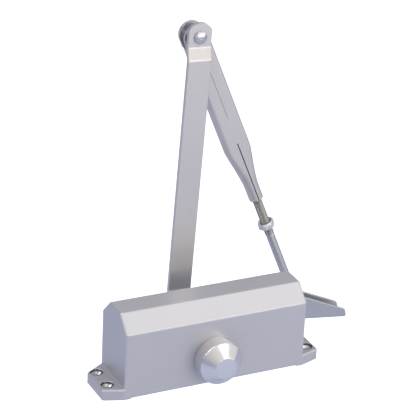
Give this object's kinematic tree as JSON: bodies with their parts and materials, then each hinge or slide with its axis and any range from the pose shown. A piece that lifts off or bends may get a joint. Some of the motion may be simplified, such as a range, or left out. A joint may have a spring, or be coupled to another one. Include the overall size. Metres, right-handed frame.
{
  "type": "door closer",
  "caption": "Surface-mounted rack-and-pinion door closer: chamfered body with drilled ears, domed pinion cap, flat main arm, folded forearm, threaded rod, lock nut and channel shoe.",
  "frame": {"origin": "middle of the four fixing holes, on the mounting plane under the ears", "axes": "+X along the body, to the end plug and the shoe; +Y to the side the arm is on; +Z out of the mounting face"},
  "size_m": [0.23, 0.1056, 0.2547],
  "materials": {
    "silver_paint": "satin silver paint on a casting",
    "arm_paint": "satin silver paint on steel",
    "turned_aluminium": "fine turned finish",
    "plated_steel": "zinc plated",
    "rod_steel": "dull zinc plated",
    "plain_steel": "ground steel, oiled",
    "bearing_steel": "ground",
    "spring_steel": "dark oiled spring steel",
    "valve_brass": "machined",
    "seal_rubber": "matt black",
    "bush_plastic": "dark nylon"
  },
  "bodies": {
    "casing": {"body_casting": "silver_paint", "front_bearing": "bearing_steel", "rear_bearing": "bearing_steel", "front_retainer": "plated_steel", "rear_retainer": "plated_steel", "front_shaft_seal": "seal_rubber", "rear_shaft_seal": "seal_rubber", "pinion_cap": "turned_aluminium", "closing_spring": "spring_steel", "spring_seat": "plated_steel", "end_plug": "plated_steel", "end_plug_ring": "seal_rubber"},
    "arm": {"pinion_shaft": "plain_steel", "main_arm": "arm_paint", "arm_washer": "plated_steel", "arm_screw": "plated_steel", "elbow_rivet": "plated_steel", "elbow_bush": "bush_plastic"},
    "piston": {"piston": "plain_steel", "piston_seal": "seal_rubber", "check_valve_seat": "bearing_steel", "check_valve_ball": "bearing_steel"},
    "forearm": {"forearm": "arm_paint", "forearm_spacer": "plated_steel"},
    "rod": {"threaded_rod": "rod_steel"},
    "nut": {"lock_nut": "plated_steel"},
    "shoe": {"shoe": "arm_paint", "shoe_pin": "plated_steel", "shoe_washers": "bush_plastic"},
    "closing_valve": {"closing_speed_valve": "valve_brass", "closing_valve_ring": "seal_rubber"},
    "latching_valve": {"latching_speed_valve": "valve_brass", "latching_valve_ring": "seal_rubber"}
  },
  "joints": [
    {"name": "pinion_turn", "type": "hinge", "parent": "casing", "child": "arm", "pos_m": [-0.00125, 0, 0.0205], "axis": [0, 1, 0], "range_deg": [0, 120], "stiffness_Nm_per_rad": 4, "springref_deg": -45.84},
    {"name": "piston_slide", "type": "slide", "parent": "casing", "child": "piston", "axis": [1, 0, 0], "range_m": [0, 0.0173], "deforming": ["closing_spring"]},
    {"name": "elbow_turn", "type": "hinge", "parent": "arm", "child": "forearm", "pos_m": [0.00855, 0, 0.23387], "axis": [0, 1, 0], "range_deg": [-140, 20]},
    {"name": "rod_adjust", "type": "slide", "parent": "forearm", "child": "rod", "axis": [0.3923, 0, -0.9198], "range_m": [-0.01, 0.015]},
    {"name": "lock_nut_travel", "type": "slide", "parent": "rod", "child": "nut", "axis": [0.3923, 0, -0.9198], "range_m": [-0.0115, 0.006]},
    {"name": "shoe_turn", "type": "hinge", "parent": "rod", "child": "shoe", "pos_m": [0.10585, 0.05797, 0.00576], "axis": [0, 1, 0], "range_deg": [-100, 50]},
    {"name": "closing_valve_turn", "type": "hinge", "parent": "casing", "child": "closing_valve", "pos_m": [0.0675, 0.009, 0.052], "axis": [1, 0, 0], "range_deg": [-360, 360]},
    {"name": "latching_valve_turn", "type": "hinge", "parent": "casing", "child": "latching_valve", "pos_m": [0.0675, -0.009, 0.052], "axis": [1, 0, 0], "range_deg": [-360, 360]}
  ],
  "couplings": [
    {"joint": "piston_slide", "follows": "pinion_turn", "m_per_rad": 0.00825}
  ]
}
